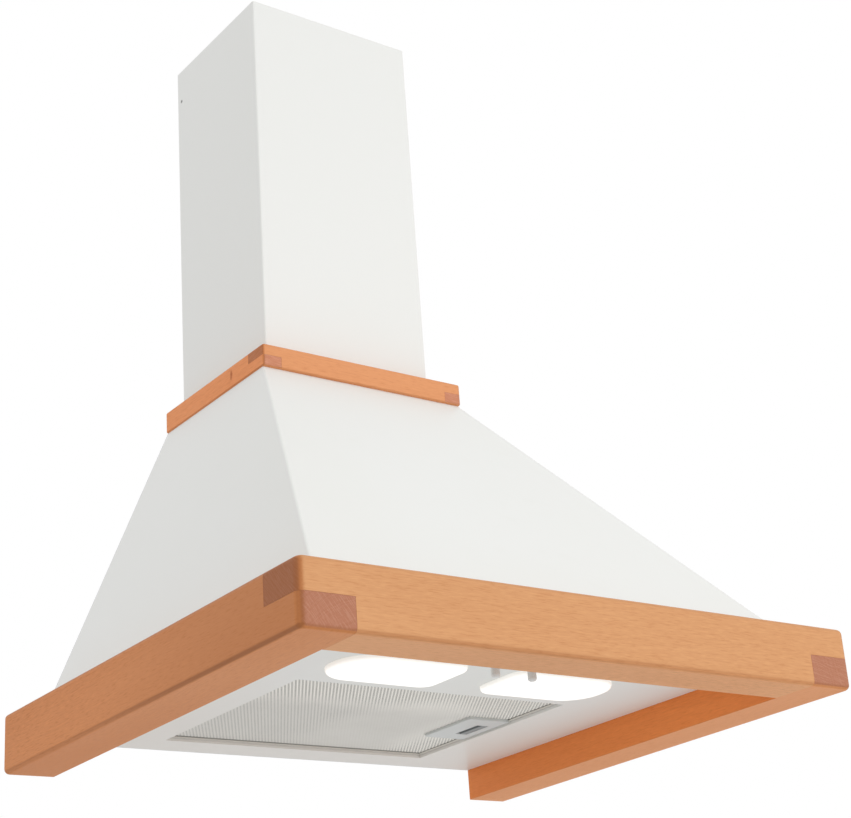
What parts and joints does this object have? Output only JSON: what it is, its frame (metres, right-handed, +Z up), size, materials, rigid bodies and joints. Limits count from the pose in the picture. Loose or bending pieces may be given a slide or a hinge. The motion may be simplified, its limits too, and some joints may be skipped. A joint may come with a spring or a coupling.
{
  "type": "range hood",
  "caption": "Wall-mounted pyramid range hood in white sheet with a U-shaped beech frame, beech trim, grease filter, opal lamps, slider controls and a blower with flaps.",
  "frame": {"origin": "midway between the two hanging holes, on the back face that lies on the wall", "axes": "+X to the right seen from the front, +Y into the wall, the front faces -Y, +Z up"},
  "size_m": [0.6, 0.537, 0.8375],
  "materials": {
    "beech": "oiled beech, satin",
    "white_paint": "white powder coat, satin",
    "zinc_steel": "zinc-plated sheet",
    "filter_aluminium": "expanded sheet, bright",
    "handle_plastic": "pale blue-grey, satin",
    "latch_plastic": "dark grey, matte",
    "knob_plastic": "pale grey, soft gloss",
    "opal_lens": "opal white, lit",
    "reflector": "bright reflector sheet",
    "holder_white": "white, glossy",
    "bulb_glass": "frosted candle bulb",
    "box_plastic": "black, matte",
    "blower_plastic": "dark grey moulding, matte",
    "wheel_plastic": "grey moulding, satin",
    "motor_steel": "plain steel",
    "capacitor_can": "white can",
    "screw_steel": "zinc-plated"
  },
  "bodies": {
    "hood": {"front_rail": "beech", "left_rail": "beech", "right_rail": "beech", "trim_front": "beech", "trim_left": "beech", "trim_right": "beech", "canopy": "white_paint", "chimney_cover": "white_paint", "bottom_panel": "white_paint", "back_panel": "zinc_steel", "chimney_bracket": "zinc_steel", "motor_bracket": "zinc_steel", "capacitor_clip": "zinc_steel", "flap_pin": "zinc_steel", "lamp_lens_left": "opal_lens", "lamp_lens_right": "opal_lens", "lamp_reflector_left": "reflector", "lamp_reflector_right": "reflector", "lamp_holder_left": "holder_white", "lamp_holder_right": "holder_white", "lamp_bulb_left": "bulb_glass", "lamp_bulb_right": "bulb_glass", "control_box": "box_plastic", "terminal_box": "box_plastic", "terminal_lid": "box_plastic", "cable_gland": "box_plastic", "blower_housing_left": "blower_plastic", "blower_housing_right": "blower_plastic", "outlet_collar": "blower_plastic", "motor": "motor_steel", "capacitor": "capacitor_can", "frame_screws": "screw_steel", "trim_screws": "screw_steel", "collar_bolts": "screw_steel", "seam_bolts": "screw_steel", "bracket_screws": "screw_steel"},
    "fan": {"impeller": "wheel_plastic", "motor_shaft": "motor_steel", "fan_nut": "screw_steel"},
    "left_flap": {"flap_left": "blower_plastic"},
    "right_flap": {"flap_right": "blower_plastic"},
    "filter": {"filter_frame": "filter_aluminium", "filter_mesh": "filter_aluminium", "filter_pad": "filter_aluminium", "filter_back_mesh": "filter_aluminium", "filter_handle": "handle_plastic"},
    "latch": {"filter_latch": "latch_plastic"},
    "light_knob": {"light_slider": "knob_plastic"},
    "speed_knob": {"speed_slider": "knob_plastic"}
  },
  "joints": [
    {"name": "fan_spin", "type": "hinge", "parent": "hood", "child": "fan", "pos_m": [0, -0.1475, -0.06], "axis": [1, 0, 0], "continuous": true},
    {"name": "left_flap_swing", "type": "hinge", "parent": "hood", "child": "left_flap", "pos_m": [0, -0.088, 0.099], "axis": [0, 1, 0], "range_deg": [0, 75]},
    {"name": "right_flap_swing", "type": "hinge", "parent": "hood", "child": "right_flap", "pos_m": [0, -0.088, 0.099], "axis": [0, -1, 0], "range_deg": [0, 75]},
    {"name": "filter_tilt", "type": "hinge", "parent": "hood", "child": "filter", "pos_m": [-0.1498, -0.1655, -0.264], "axis": [0, 1, 0], "range_deg": [0, 60]},
    {"name": "latch_slide", "type": "slide", "parent": "filter", "child": "latch", "axis": [-1, 0, 0], "range_m": [0, 0.006], "stiffness_N_per_m": 200},
    {"name": "light_slide", "type": "slide", "parent": "hood", "child": "light_knob", "axis": [1, 0, 0], "range_m": [-0.012, 0]},
    {"name": "speed_slide", "type": "slide", "parent": "hood", "child": "speed_knob", "axis": [1, 0, 0], "range_m": [0, 0.039]}
  ]
}
